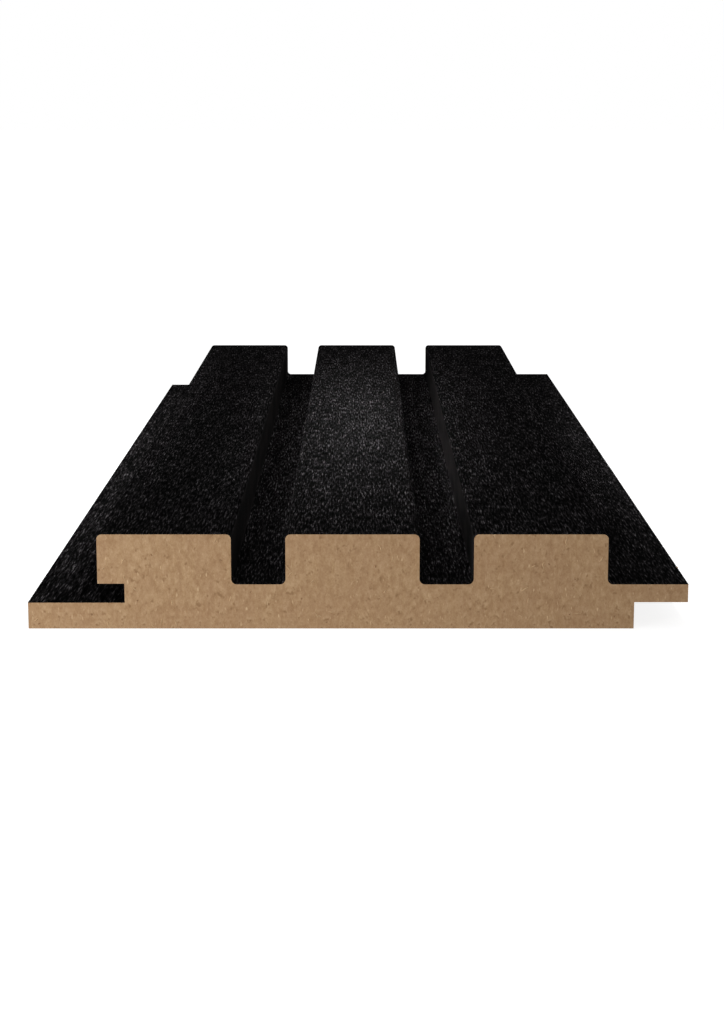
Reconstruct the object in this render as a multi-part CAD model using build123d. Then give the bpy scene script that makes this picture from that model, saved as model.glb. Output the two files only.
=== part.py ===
from build123d import *

import os

# A ribbed wall panel milled from one MDF board, with a thin black film over its whole face.
# It lies on its back. X runs across the panel towards the tongue, Y along its length and Z
# from the wall to the room. The origin is the middle of the board's back, at wall level.
# Every size of the face is the finished one, over the film.

# Board and film
panel_length = 300.0
panel_thickness = 18.0
film_thickness = 0.05

# Ribs, and the channels milled between them
rib_count = 3
rib_width = 25.0
rib_edge_radius = 1.0
channel_width = 10.0
channel_floor = 8.5
channel_root_radius = 1.0

# Fixing lip past the first rib, with the slot that is cut under that rib
lip_reach = 13.0
lip_thickness = 5.0
slot_depth = 5.0

# Stretch of full board past the last rib, which carries the tongue's root
tongue_root = 5.0

# Play of a tongue in a neighbour's slot, above it and below it
joint_clearance = 0.05

# A tongue that is home in a neighbour's slot leaves one more channel between the two panels
tongue_reach = channel_width + slot_depth

# Places across the width
rib_pitch = rib_width + channel_width
rib_field = rib_count * rib_pitch - channel_width
lip_tip = -(lip_reach + rib_field + tongue_reach) / 2
first_rib = lip_tip + lip_reach
slot_end = first_rib + slot_depth
field_end = first_rib + rib_field
board_edge = field_end + tongue_root
tongue_tip = field_end + tongue_reach

# Heights above the wall: the tongue carries on the channels' floor, and the slot takes it with play
slot_ceiling = channel_floor + joint_clearance
tongue_underside = lip_thickness + joint_clearance


def face_line():
    """The finished face in section, from the lip's tip through the slot and over the ribs."""
    points = [(lip_tip, lip_thickness), (slot_end, lip_thickness), (slot_end, slot_ceiling)]
    radii = [0, 0]
    foot_height = slot_ceiling
    foot_radius = 0
    for rib in range(rib_count):
        left = first_rib + rib * rib_pitch
        right = left + rib_width
        points += [(left, foot_height), (left, panel_thickness)]
        points += [(right, panel_thickness), (right, channel_floor)]
        radii += [foot_radius, rib_edge_radius, rib_edge_radius, channel_root_radius]
        foot_height = channel_floor
        foot_radius = channel_root_radius
    points.append((tongue_tip, channel_floor))
    return FilletPolyline(*points, radius=radii)


def back_line():
    """The bare board in section, from the tongue's tip under the panel to the lip's tip."""
    return Polyline(
        (tongue_tip, channel_floor),
        (tongue_tip, tongue_underside),
        (board_edge, tongue_underside),
        (board_edge, 0),
        (lip_tip, 0),
        (lip_tip, lip_thickness),
    )


def along_panel(section):
    """A section drawn across the panel, run out to both sawn ends."""
    return extrude(Plane.XZ * section, amount=panel_length / 2, both=True)


face = face_line()
panel_section = make_face(face.edges() + back_line().edges())

# The film is a band of even thickness just inside the finished face, and the board is the rest
film_band = offset(face, film_thickness, kind=Kind.INTERSECTION, side=Side.RIGHT)
film_section = make_face(film_band.edges())
core_section = panel_section - film_section

nodes = {
    "mdf_core": along_panel(core_section),
    "face_film": along_panel(film_section),
}

os.makedirs("parts", exist_ok=True)
for name, shape in nodes.items():
    shape.label = name
    export_step(shape, f"parts/{name}.step")
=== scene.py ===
import math

import bmesh
import bpy
from mathutils import Matrix, Vector


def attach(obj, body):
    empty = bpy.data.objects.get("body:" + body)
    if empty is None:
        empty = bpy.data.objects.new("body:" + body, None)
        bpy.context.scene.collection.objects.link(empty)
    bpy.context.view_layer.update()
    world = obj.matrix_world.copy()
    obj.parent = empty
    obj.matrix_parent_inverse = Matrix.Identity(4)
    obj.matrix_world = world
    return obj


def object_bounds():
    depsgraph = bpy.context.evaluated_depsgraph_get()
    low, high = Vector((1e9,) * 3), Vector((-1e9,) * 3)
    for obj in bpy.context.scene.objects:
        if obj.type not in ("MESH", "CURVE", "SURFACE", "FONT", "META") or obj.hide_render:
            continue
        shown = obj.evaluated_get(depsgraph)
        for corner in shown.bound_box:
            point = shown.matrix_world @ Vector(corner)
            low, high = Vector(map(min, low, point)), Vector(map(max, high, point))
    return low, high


# A short length of ribbed MDF wall panel on a white table, seen from just above its sawn end.
# Metres, in the frame of the CAD model: X across the panel towards the tongue, Y along it,
# Z from the wall side up to the face.

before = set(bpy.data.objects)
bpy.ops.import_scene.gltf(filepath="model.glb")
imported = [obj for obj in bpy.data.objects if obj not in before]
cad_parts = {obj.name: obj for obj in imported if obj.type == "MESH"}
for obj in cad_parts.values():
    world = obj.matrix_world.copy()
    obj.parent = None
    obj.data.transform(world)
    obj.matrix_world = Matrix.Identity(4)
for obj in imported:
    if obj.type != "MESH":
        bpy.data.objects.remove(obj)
cad_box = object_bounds()
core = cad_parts["mdf_core"]
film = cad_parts["face_film"]

MM = 0.001

# A distance that is small beside every size of the panel
CLOSE = 0.1 * MM

# Places on the panel, read from the frame
LIP_TIP = cad_box[0].x
SAWN_END = cad_box[1].y
RIB_TOP = cad_box[1].z
BACK_EDGE = max(v.co.x for v in core.data.vertices if v.co.z < CLOSE)
END_MIDDLE = Vector((0.0, -SAWN_END, RIB_TOP / 2))
FAR_END_MIDDLE = Vector((0.0, SAWN_END, RIB_TOP / 2))


def linear(hex_colour):
    """A colour written as sRGB hex, as the opaque linear colour that a socket takes."""
    parts = [int(hex_colour[i:i + 2], 16) / 255 for i in (1, 3, 5)]
    return [c / 12.92 if c <= 0.04045 else ((c + 0.055) / 1.055) ** 2.4 for c in parts] + [1.0]


def add_node(tree, kind, inputs=None, **settings):
    """One node with its settings. An input that is another node's output is linked, the rest are set."""
    made = tree.nodes.new(kind)
    for name, value in settings.items():
        setattr(made, name, value)
    for key, value in (inputs or {}).items():
        if isinstance(value, bpy.types.NodeSocket):
            tree.links.new(value, made.inputs[key])
        else:
            made.inputs[key].default_value = value
    return made


def ramp(tree, fac, stops):
    """A colour ramp through (place, hex colour) stops."""
    made = add_node(tree, "ShaderNodeValToRGB", {"Fac": fac})
    elements = made.color_ramp.elements
    while len(elements) < len(stops):
        elements.new(1.0)
    for element, (place, hex_colour) in zip(elements, stops):
        element.position = place
        element.color = linear(hex_colour)
    return made.outputs["Color"]


def new_material(name):
    """An empty node material with its Principled shader, as (material, tree, shader)."""
    material = bpy.data.materials.new(name)
    material.use_nodes = True
    tree = material.node_tree
    tree.nodes.clear()
    shader = add_node(tree, "ShaderNodeBsdfPrincipled")
    add_node(tree, "ShaderNodeOutputMaterial", {"Surface": shader.outputs["BSDF"]})
    return material, tree, shader


def stretched(tree, cell_mm):
    """Object coordinates counted in cells of the given size in millimetres, for a pattern of scale 1."""
    place = add_node(tree, "ShaderNodeTexCoord")
    cells = add_node(
        tree,
        "ShaderNodeMapping",
        {"Vector": place.outputs["Object"], "Scale": [1 / (size * MM) for size in cell_mm]},
    )
    return cells.outputs["Vector"]


def flecks(tree, cell_mm, low, high, detail=1.0):
    """Spots of a noise whose cells have the given size: 0 below the low level, 1 above the high."""
    noise = add_node(
        tree,
        "ShaderNodeTexNoise",
        {"Vector": stretched(tree, cell_mm), "Scale": 1.0, "Detail": detail, "Roughness": 0.5},
    )
    spots = add_node(
        tree,
        "ShaderNodeMapRange",
        {"Value": noise.outputs["Fac"], "From Min": low, "From Max": high},
        interpolation_type="SMOOTHSTEP",
    )
    return spots.outputs["Result"]


def tint(tree, factor, under, over):
    """One colour over another by a factor. Each is an output or a hex colour."""
    colours = [linear(c) if isinstance(c, str) else c for c in (under, over)]
    mix = add_node(
        tree,
        "ShaderNodeMix",
        {"Factor": factor, "A": colours[0], "B": colours[1]},
        data_type="RGBA",
    )
    return mix.outputs["Result"]


# Materials


def level_share(tree):
    """1 on the level faces of the panel, 0 on its upright walls, and soft over the rounded edges."""
    surface = add_node(tree, "ShaderNodeTexCoord")
    facing = add_node(tree, "ShaderNodeSeparateXYZ", {"Vector": surface.outputs["Normal"]})
    level = add_node(tree, "ShaderNodeMath", {0: facing.outputs["Z"]}, operation="ABSOLUTE")
    share = add_node(
        tree,
        "ShaderNodeMapRange",
        {"Value": level.outputs["Value"], "From Min": 0.15, "From Max": 0.5},
        interpolation_type="SMOOTHSTEP",
    )
    return share.outputs["Result"]


def black_decor_film():
    """Matt black polypropylene decor film, printed and embossed, and wrapped hot over the milled face."""
    material, tree, shader = new_material("black_decor_film")

    # Pores a third of a millimetre wide and a few long run along the panel. The eye sees pale
    # flecks on a deep black, which gather a little in loose clumps.
    pores = add_node(
        tree,
        "ShaderNodeTexNoise",
        {"Vector": stretched(tree, (0.34, 3.7, 0.34)), "Scale": 1.0, "Detail": 2.0, "Roughness": 0.65},
    )
    clumps = add_node(
        tree,
        "ShaderNodeMapRange",
        {"Value": flecks(tree, (1.8, 14.0, 1.8), 0.3, 0.7), "To Min": -0.035, "To Max": 0.035},
    )
    gathered = add_node(
        tree,
        "ShaderNodeMath",
        {0: pores.outputs["Fac"], 1: clumps.outputs["Result"]},
        operation="ADD",
    )
    flecked = ramp(
        tree,
        gathered.outputs["Value"],
        ((0.28, "#020202"), (0.5, "#0d0d0d"), (0.62, "#252324"), (0.78, "#595658")),
    )

    # On the walls the hot film was stretched, so it is smooth there, an even grey-black with only
    # a slow drift in its shade
    smooth = tint(tree, flecks(tree, (6.0, 16.0, 6.0), 0.3, 0.7), "#1b1b1b", "#232121")
    grained = level_share(tree)
    relief = add_node(
        tree,
        "ShaderNodeBump",
        {"Height": pores.outputs["Fac"], "Strength": grained, "Distance": 0.05 * MM},
    )
    tree.links.new(tint(tree, grained, smooth, flecked), shader.inputs["Base Color"])
    tree.links.new(relief.outputs["Normal"], shader.inputs["Normal"])

    # The matt lacquer shows no highlight, even along the face
    shader.inputs["Roughness"].default_value = 0.9
    shader.inputs["Specular IOR Level"].default_value = 0.0
    return material


def bare_mdf():
    """Medium density fibreboard, milled and sawn, with no finish on it."""
    material, tree, shader = new_material("bare_mdf")

    # Wood fibre pressed with resin is an even, dull tan felt to the eye. A fibre is about 0.03 mm
    # thick, too fine to show, so the felt is drawn coarser, in tufts of about a millimetre.
    felt = add_node(
        tree,
        "ShaderNodeTexNoise",
        {"Vector": stretched(tree, (0.8, 0.8, 1.25)), "Scale": 1.0, "Detail": 3.0, "Roughness": 0.75},
    )
    colour = ramp(
        tree,
        felt.outputs["Fac"],
        ((0.25, "#917150"), (0.5, "#a58664"), (0.8, "#bb9e7b")),
    )

    # Faint upright streaks, left by the saw
    streaks = flecks(tree, (0.7, 0.7, 7.0), 0.3, 0.7)
    colour = tint(tree, streaks, colour, tint(tree, 0.15, colour, "#94745a"))

    # Slightly darker patches, where the fibre mat was pressed denser
    patches = flecks(tree, (9, 9, 9), 0.4, 0.6, detail=2.0)
    colour = tint(tree, patches, colour, tint(tree, 0.12, colour, "#8f6a50"))

    # Shives, which are dark specks of bark, and the pale curls of single fibre bundles
    shives = flecks(tree, (0.8, 0.8, 1.0), 0.6, 0.8)
    colour = tint(tree, shives, colour, "#8c6d4e")
    curls = flecks(tree, (0.5, 0.5, 1.4), 0.64, 0.8)
    colour = tint(tree, curls, colour, "#c0a380")

    # The cut fibre ends are rough and dull
    relief = add_node(
        tree,
        "ShaderNodeBump",
        {"Height": felt.outputs["Fac"], "Strength": 0.3, "Distance": 0.05 * MM},
    )
    tree.links.new(colour, shader.inputs["Base Color"])
    tree.links.new(relief.outputs["Normal"], shader.inputs["Normal"])
    shader.inputs["Roughness"].default_value = 0.92
    shader.inputs["Specular IOR Level"].default_value = 0.2
    return material


def wood_strand(name, hex_colour):
    """A strand of wood fibre laid bare by the saw: dull, and fading in places into the board's tan."""
    material, tree, shader = new_material(name)
    shade = flecks(tree, (2.0, 2.0, 2.0), 0.3, 0.7)
    faded = tint(tree, 0.35, hex_colour, "#a58665")
    tree.links.new(tint(tree, shade, faded, hex_colour), shader.inputs["Base Color"])
    shader.inputs["Roughness"].default_value = 0.9
    shader.inputs["Specular IOR Level"].default_value = 0.2
    return material


def give_material(piece, material):
    """Puts one material on every slot of a piece."""
    if not piece.material_slots:
        piece.data.materials.append(material)
    for material_slot in piece.material_slots:
        material_slot.material = material


# Strands that lie in the bare board's surface


def is_bare(face):
    """Whether a face of the board is one of its sawn ends or outermost long edges."""
    across = face.calc_center_median().x
    sawn = abs(face.normal.y) > 0.5
    upright = abs(face.normal.x) > 0.5
    outermost = across > BACK_EDGE - CLOSE or across < LIP_TIP + CLOSE
    return sawn or (upright and outermost)


def bare_surface():
    """The bare faces that show when the panel lies on its back, as a mesh of their own."""
    shape = bmesh.new()
    shape.from_mesh(core.data)
    bmesh.ops.remove_doubles(shape, verts=shape.verts, dist=0.001 * MM)
    covered = [face for face in shape.faces if not is_bare(face)]
    bmesh.ops.delete(shape, geom=covered, context="FACES")
    mesh = bpy.data.meshes.new("bare_surface")
    shape.to_mesh(mesh)
    shape.free()
    return mesh


def scattered_lines(tree, given):
    """Straight lines of uneven length, scattered over the surface and turned any way within it."""
    scatter = add_node(
        tree,
        "GeometryNodeDistributePointsOnFaces",
        {"Mesh": given["Surface"], "Density": given["Per Square Metre"], "Seed": given["Seed"]},
    )
    noted = add_node(
        tree,
        "GeometryNodeStoreNamedAttribute",
        {"Geometry": scatter.outputs["Points"], "Name": "outward", "Value": scatter.outputs["Normal"]},
        data_type="FLOAT_VECTOR",
    )
    angle = add_node(
        tree, "FunctionNodeRandomValue", {"Min": 0.0, "Max": math.tau, "Seed": given["Seed"]}
    )
    spin = add_node(
        tree,
        "FunctionNodeAxisAngleToRotation",
        {"Axis": (0.0, 0.0, 1.0), "Angle": angle.outputs["Value"]},
    )
    turned = add_node(
        tree,
        "FunctionNodeRotateRotation",
        {"Rotation": scatter.outputs["Rotation"], "Rotate By": spin.outputs["Rotation"]},
        rotation_space="LOCAL",
    )
    share = add_node(
        tree, "FunctionNodeRandomValue", {"Min": 0.35, "Max": 1.0, "Seed": given["Seed"]}
    )
    length = add_node(
        tree,
        "ShaderNodeMath",
        {0: given["Length"], 1: share.outputs["Value"]},
        operation="MULTIPLY",
    )
    line = add_node(
        tree, "GeometryNodeCurvePrimitiveLine", {"Start": (-0.5, 0.0, 0.0), "End": (0.5, 0.0, 0.0)}
    )
    fine_line = add_node(
        tree, "GeometryNodeResampleCurve", {"Curve": line.outputs["Curve"], "Count": 6}
    )
    laid = add_node(
        tree,
        "GeometryNodeInstanceOnPoints",
        {
            "Points": noted.outputs["Geometry"],
            "Instance": fine_line.outputs["Curve"],
            "Rotation": turned.outputs["Rotation"],
            "Scale": length.outputs["Value"],
        },
    )
    single = add_node(
        tree, "GeometryNodeRealizeInstances", {"Geometry": laid.outputs["Instances"]}
    )
    return single.outputs["Geometry"]


def bent_lines(tree, given, lines):
    """The lines bent by a noise, but only within the surface, and kept between the two corners."""
    place = add_node(tree, "GeometryNodeInputPosition")
    counted = add_node(
        tree,
        "ShaderNodeVectorMath",
        {0: place.outputs["Position"], 1: given["Bend Size"]},
        operation="DIVIDE",
    )
    noise = add_node(
        tree, "ShaderNodeTexNoise", {"Vector": counted.outputs["Vector"], "Scale": 1.0, "Detail": 0.0}
    )
    centred = add_node(
        tree,
        "ShaderNodeVectorMath",
        {0: noise.outputs["Color"], 1: (0.5, 0.5, 0.5)},
        operation="SUBTRACT",
    )
    push = add_node(
        tree,
        "ShaderNodeVectorMath",
        {0: centred.outputs["Vector"], "Scale": given["Bend"]},
        operation="SCALE",
    )
    outward = add_node(
        tree, "GeometryNodeInputNamedAttribute", {"Name": "outward"}, data_type="FLOAT_VECTOR"
    )
    lift = add_node(
        tree,
        "ShaderNodeVectorMath",
        {0: push.outputs["Vector"], 1: outward.outputs["Attribute"]},
        operation="PROJECT",
    )
    along = add_node(
        tree,
        "ShaderNodeVectorMath",
        {0: push.outputs["Vector"], 1: lift.outputs["Vector"]},
        operation="SUBTRACT",
    )
    moved = add_node(
        tree, "ShaderNodeVectorMath", {0: place.outputs["Position"], 1: along.outputs["Vector"]}
    )
    above = add_node(
        tree,
        "ShaderNodeVectorMath",
        {0: moved.outputs["Vector"], 1: given["Low Corner"]},
        operation="MAXIMUM",
    )
    inside = add_node(
        tree,
        "ShaderNodeVectorMath",
        {0: above.outputs["Vector"], 1: given["High Corner"]},
        operation="MINIMUM",
    )
    bent = add_node(
        tree,
        "GeometryNodeSetPosition",
        {"Geometry": lines, "Position": inside.outputs["Vector"]},
    )
    return bent.outputs["Geometry"]


def tapered_strands(tree, given, lines):
    """Solid strands along the lines, square in section and thinner towards both ends."""
    way = add_node(tree, "GeometryNodeSplineParameter")
    half_turn = add_node(
        tree, "ShaderNodeMath", {0: way.outputs["Factor"], 1: math.pi}, operation="MULTIPLY"
    )
    swell = add_node(tree, "ShaderNodeMath", {0: half_turn.outputs["Value"]}, operation="SINE")
    taper = add_node(
        tree, "ShaderNodeMath", {0: swell.outputs["Value"], 1: 0.3}, operation="MAXIMUM"
    )
    width = add_node(
        tree,
        "ShaderNodeMath",
        {0: taper.outputs["Value"], 1: given["Thickness"]},
        operation="MULTIPLY",
    )
    section = add_node(
        tree, "GeometryNodeCurvePrimitiveCircle", {"Resolution": 4, "Radius": 0.5}
    )
    tube = add_node(
        tree,
        "GeometryNodeCurveToMesh",
        {
            "Curve": lines,
            "Profile Curve": section.outputs["Curve"],
            "Scale": width.outputs["Value"],
            "Fill Caps": True,
        },
    )
    return tube.outputs["Mesh"]


def lying_strands_tree():
    """Geometry Nodes: short bent strands scattered over a surface, each half sunk in it."""
    tree = bpy.data.node_groups.new("lying_strands", "GeometryNodeTree")
    sockets = tree.interface
    sockets.new_socket("Surface", in_out="INPUT", socket_type="NodeSocketGeometry")
    for name in ("Per Square Metre", "Length", "Thickness", "Bend", "Bend Size"):
        sockets.new_socket(name, in_out="INPUT", socket_type="NodeSocketFloat")
    sockets.new_socket("Seed", in_out="INPUT", socket_type="NodeSocketInt")
    for name in ("Low Corner", "High Corner"):
        sockets.new_socket(name, in_out="INPUT", socket_type="NodeSocketVector")
    sockets.new_socket("Material", in_out="INPUT", socket_type="NodeSocketMaterial")
    sockets.new_socket("Strands", in_out="OUTPUT", socket_type="NodeSocketGeometry")
    given = add_node(tree, "NodeGroupInput").outputs

    lines = bent_lines(tree, given, scattered_lines(tree, given))
    strands = tapered_strands(tree, given, lines)
    whole = add_node(tree, "GeometryNodeRealizeInstances", {"Geometry": strands})
    done = add_node(
        tree,
        "GeometryNodeSetMaterial",
        {"Geometry": whole.outputs["Geometry"], "Material": given["Material"]},
    )
    add_node(tree, "NodeGroupOutput", {"Strands": done.outputs["Geometry"]})
    return tree


def add_strands(name, surface, tree, material, sizes):
    """One piece of scattered strands, as a plain mesh that rides with the board."""
    carrier = bpy.data.objects.new(name + "_carrier", surface)
    bpy.context.scene.collection.objects.link(carrier)
    modifier = carrier.modifiers.new("strands", "NODES")
    modifier.node_group = tree

    # Keeps whole strands, and not only their middle lines, between the table and the rib tops
    half_strand = Vector((0.0, 0.0, sizes["Thickness"] / 2))
    corners = {"Low Corner": cad_box[0] + half_strand, "High Corner": cad_box[1] - half_strand}
    values = {"Material": material, **corners, **sizes}
    for socket in tree.interface.items_tree:
        if socket.in_out == "INPUT" and socket.name in values:
            modifier[socket.identifier] = values[socket.name]

    evaluated = carrier.evaluated_get(bpy.context.evaluated_depsgraph_get())
    mesh = bpy.data.meshes.new_from_object(evaluated)
    mesh.name = name
    carrier.modifiers.remove(modifier)
    bpy.data.objects.remove(carrier)
    piece = bpy.data.objects.new(name, mesh)
    bpy.context.scene.collection.objects.link(piece)
    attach(piece, "root")


def add_wood_fibre():
    """Pale fibre bundles and brown slivers of bark, which break up the smooth sawn board."""
    surface = bare_surface()
    tree = lying_strands_tree()

    # A real bundle is about 0.05 mm thick, too fine to show, so both kinds are drawn thicker
    thickness = 0.24 * MM
    add_strands(
        "pale_fibres",
        surface,
        tree,
        wood_strand("pale_wood_fibre", "#c0a27d"),
        {
            "Per Square Metre": 18000.0,
            "Length": 1.6 * MM,
            "Thickness": thickness,
            "Bend": 1.0 * MM,
            "Bend Size": 1.0 * MM,
            "Seed": 3,
        },
    )
    add_strands(
        "bark_slivers",
        surface,
        tree,
        wood_strand("brown_bark_sliver", "#8d6d4e"),
        {
            "Per Square Metre": 13000.0,
            "Length": 0.6 * MM,
            "Thickness": thickness,
            "Bend": 0.3 * MM,
            "Bend Size": 0.6 * MM,
            "Seed": 8,
        },
    )


# Stage


def backdrop_share(tree):
    """1 for the rays that show the backdrop itself or its reflection, and 0 for those that light things."""
    path = add_node(tree, "ShaderNodeLightPath")
    seen = add_node(
        tree,
        "ShaderNodeMath",
        {0: path.outputs["Is Camera Ray"], 1: path.outputs["Is Glossy Ray"]},
        operation="ADD",
    )
    through = add_node(
        tree,
        "ShaderNodeMath",
        {0: seen.outputs["Value"], 1: path.outputs["Is Transmission Ray"]},
        operation="ADD",
        use_clamp=True,
    )
    return through.outputs["Value"]


def set_world(ambient):
    """White where it is seen, and an even soft light of the given strength on everything."""
    world = bpy.data.worlds.new("white_studio")
    bpy.context.scene.world = world
    world.use_nodes = True
    tree = world.node_tree
    tree.nodes.clear()
    strength = add_node(
        tree,
        "ShaderNodeMapRange",
        {"Value": backdrop_share(tree), "To Min": ambient, "To Max": 1.0},
    )
    light = add_node(
        tree,
        "ShaderNodeBackground",
        {"Color": linear("#ffffff"), "Strength": strength.outputs["Result"]},
    )
    add_node(tree, "ShaderNodeOutputWorld", {"Surface": light.outputs["Background"]})


def white_table():
    """A white table top. Where it is seen it glows up to white, and keeps a light shadow."""
    glow_strength = 0.85
    material = bpy.data.materials.new("white_table")
    material.use_nodes = True
    tree = material.node_tree
    tree.nodes.clear()
    paint = add_node(tree, "ShaderNodeBsdfDiffuse", {"Color": linear("#a0a0a0")})
    strength = add_node(
        tree, "ShaderNodeMath", {0: backdrop_share(tree), 1: glow_strength}, operation="MULTIPLY"
    )
    glow = add_node(
        tree,
        "ShaderNodeEmission",
        {"Color": linear("#ffffff"), "Strength": strength.outputs["Value"]},
    )
    shown = add_node(
        tree, "ShaderNodeAddShader", {0: paint.outputs["BSDF"], 1: glow.outputs["Emission"]}
    )
    add_node(tree, "ShaderNodeOutputMaterial", {"Surface": shown.outputs["Shader"]})
    return material


def add_table():
    """A large level table top, a hair under the panel's back."""
    half_side = 6.0
    sink = 0.02 * MM
    ring = ((-1, -1), (1, -1), (1, 1), (-1, 1))
    corners = [Vector((half_side * x, half_side * y, 0.0)) for x, y in ring]
    mesh = bpy.data.meshes.new("table")
    mesh.from_pydata(corners, [], [(0, 1, 2, 3)])
    table = bpy.data.objects.new("table", mesh)
    bpy.context.scene.collection.objects.link(table)
    table.location.z = -sink
    give_material(table, white_table())


def add_lamp(name, place, target, power, width, length, spread=math.pi):
    """An oval soft lamp that points at a target, with its length as near along the panel as it goes."""
    data = bpy.data.lights.new(name, "AREA")
    data.shape = "ELLIPSE"
    data.size = width
    data.size_y = length
    data.energy = power
    data.spread = spread
    lamp = bpy.data.objects.new(name, data)
    bpy.context.scene.collection.objects.link(lamp)
    back = (Vector(place) - Vector(target)).normalized()
    across = Vector((0, 1, 0)).cross(back).normalized()
    turn = Matrix((across, back.cross(across), back)).transposed()
    lamp.matrix_world = Matrix.Translation(place) @ turn.to_4x4()
    lamp.visible_camera = False


def add_strip_lamp(name, across, along, length, power, reach, lean):
    """A long thin lamp with a honeycomb grid, over one line of the face.

    It leans to the left by a number of degrees, and lights as far as its reach beside the line.
    """
    distance = 0.5
    width = 6 * MM
    over = Vector((across, along, RIB_TOP))
    slope = math.radians(lean)
    place = over + distance * Vector((-math.sin(slope), 0.0, math.cos(slope)))
    add_lamp(name, place, over, power, width, length, 2 * math.atan(reach / distance))


def light_ends():
    """A low soft lamp at each sawn end. The near one stands to the left, so its end fades rightwards."""
    add_lamp(
        "key",
        place=(-0.19, -0.37, 0.035),
        target=END_MIDDLE,
        power=0.58,
        width=0.03,
        length=0.1,
    )
    add_lamp(
        "back",
        place=(0.25, 0.5, 0.04),
        target=FAR_END_MIDDLE,
        power=1.1,
        width=0.03,
        length=0.15,
    )


def light_ribs_and_channels():
    """A bright patch on the middle rib, and light that falls off towards both ends of the channels."""
    halfway = -9 * MM

    # The middle rib, and the wall that faces it across the right channel
    add_strip_lamp(
        "middle_long",
        across=3.0 * MM,
        along=halfway,
        length=0.20,
        power=0.0151,
        reach=27.2 * MM,
        lean=42,
    )

    # Both channels' floors, at three leans, so that no rib leaves a hard band of shadow
    for lean in (2, 18, 34):
        add_strip_lamp(
            f"channels_{lean}",
            across=-1.3 * MM,
            along=halfway,
            length=0.29,
            power=0.0089,
            reach=34.0 * MM,
            lean=lean,
        )

    # The wall that faces the middle rib across the left channel
    add_strip_lamp(
        "left_channel_wall",
        across=-10.8 * MM,
        along=halfway,
        length=0.24,
        power=0.0026,
        reach=14.8 * MM,
        lean=-41,
    )

    # The brightest stretch of the middle rib
    add_strip_lamp(
        "middle_short",
        across=0.8 * MM,
        along=halfway,
        length=0.11,
        power=0.0036,
        reach=7.8 * MM,
        lean=39,
    )


def light_lip():
    """Light along the lip and the left side of the first rib."""
    halfway = 2 * MM
    add_strip_lamp(
        "lip_long",
        across=-59.1 * MM,
        along=halfway,
        length=0.30,
        power=0.0171,
        reach=18.5 * MM,
        lean=-21,
    )
    add_strip_lamp(
        "lip_short",
        across=-54.1 * MM,
        along=halfway,
        length=0.21,
        power=0.0031,
        reach=22.2 * MM,
        lean=-12,
    )


def light_tongue():
    """Light along the tongue."""
    halfway = -7 * MM
    add_strip_lamp(
        "tongue_long",
        across=63.3 * MM,
        along=halfway,
        length=0.27,
        power=0.0067,
        reach=14.4 * MM,
        lean=2,
    )
    add_strip_lamp(
        "tongue_short",
        across=53.3 * MM,
        along=halfway,
        length=0.13,
        power=0.0019,
        reach=12.9 * MM,
        lean=3,
    )


def add_camera():
    """The photograph's view, fitted to the panel's edges: level across, and looking down a little."""
    down = math.radians(11.2787)
    right_of_middle = 0.765 * MM
    before_end = 375.308 * MM
    height = 97.035 * MM
    data = bpy.data.cameras.new("camera")
    data.sensor_width = 36.0
    data.lens = 72.839
    data.clip_start = 0.01
    camera = bpy.data.objects.new("camera", data)
    bpy.context.scene.collection.objects.link(camera)
    camera.location = (right_of_middle, -SAWN_END - before_end, height)
    camera.rotation_euler = (math.pi / 2 - down, 0.0, 0.0)
    bpy.context.scene.camera = camera


give_material(film, black_decor_film())
give_material(core, bare_mdf())
add_wood_fibre()

bpy.context.scene.view_settings.view_transform = "Standard"
set_world(ambient=0.55)
add_table()
light_ends()
light_ribs_and_channels()
light_lip()
light_tongue()
add_camera()
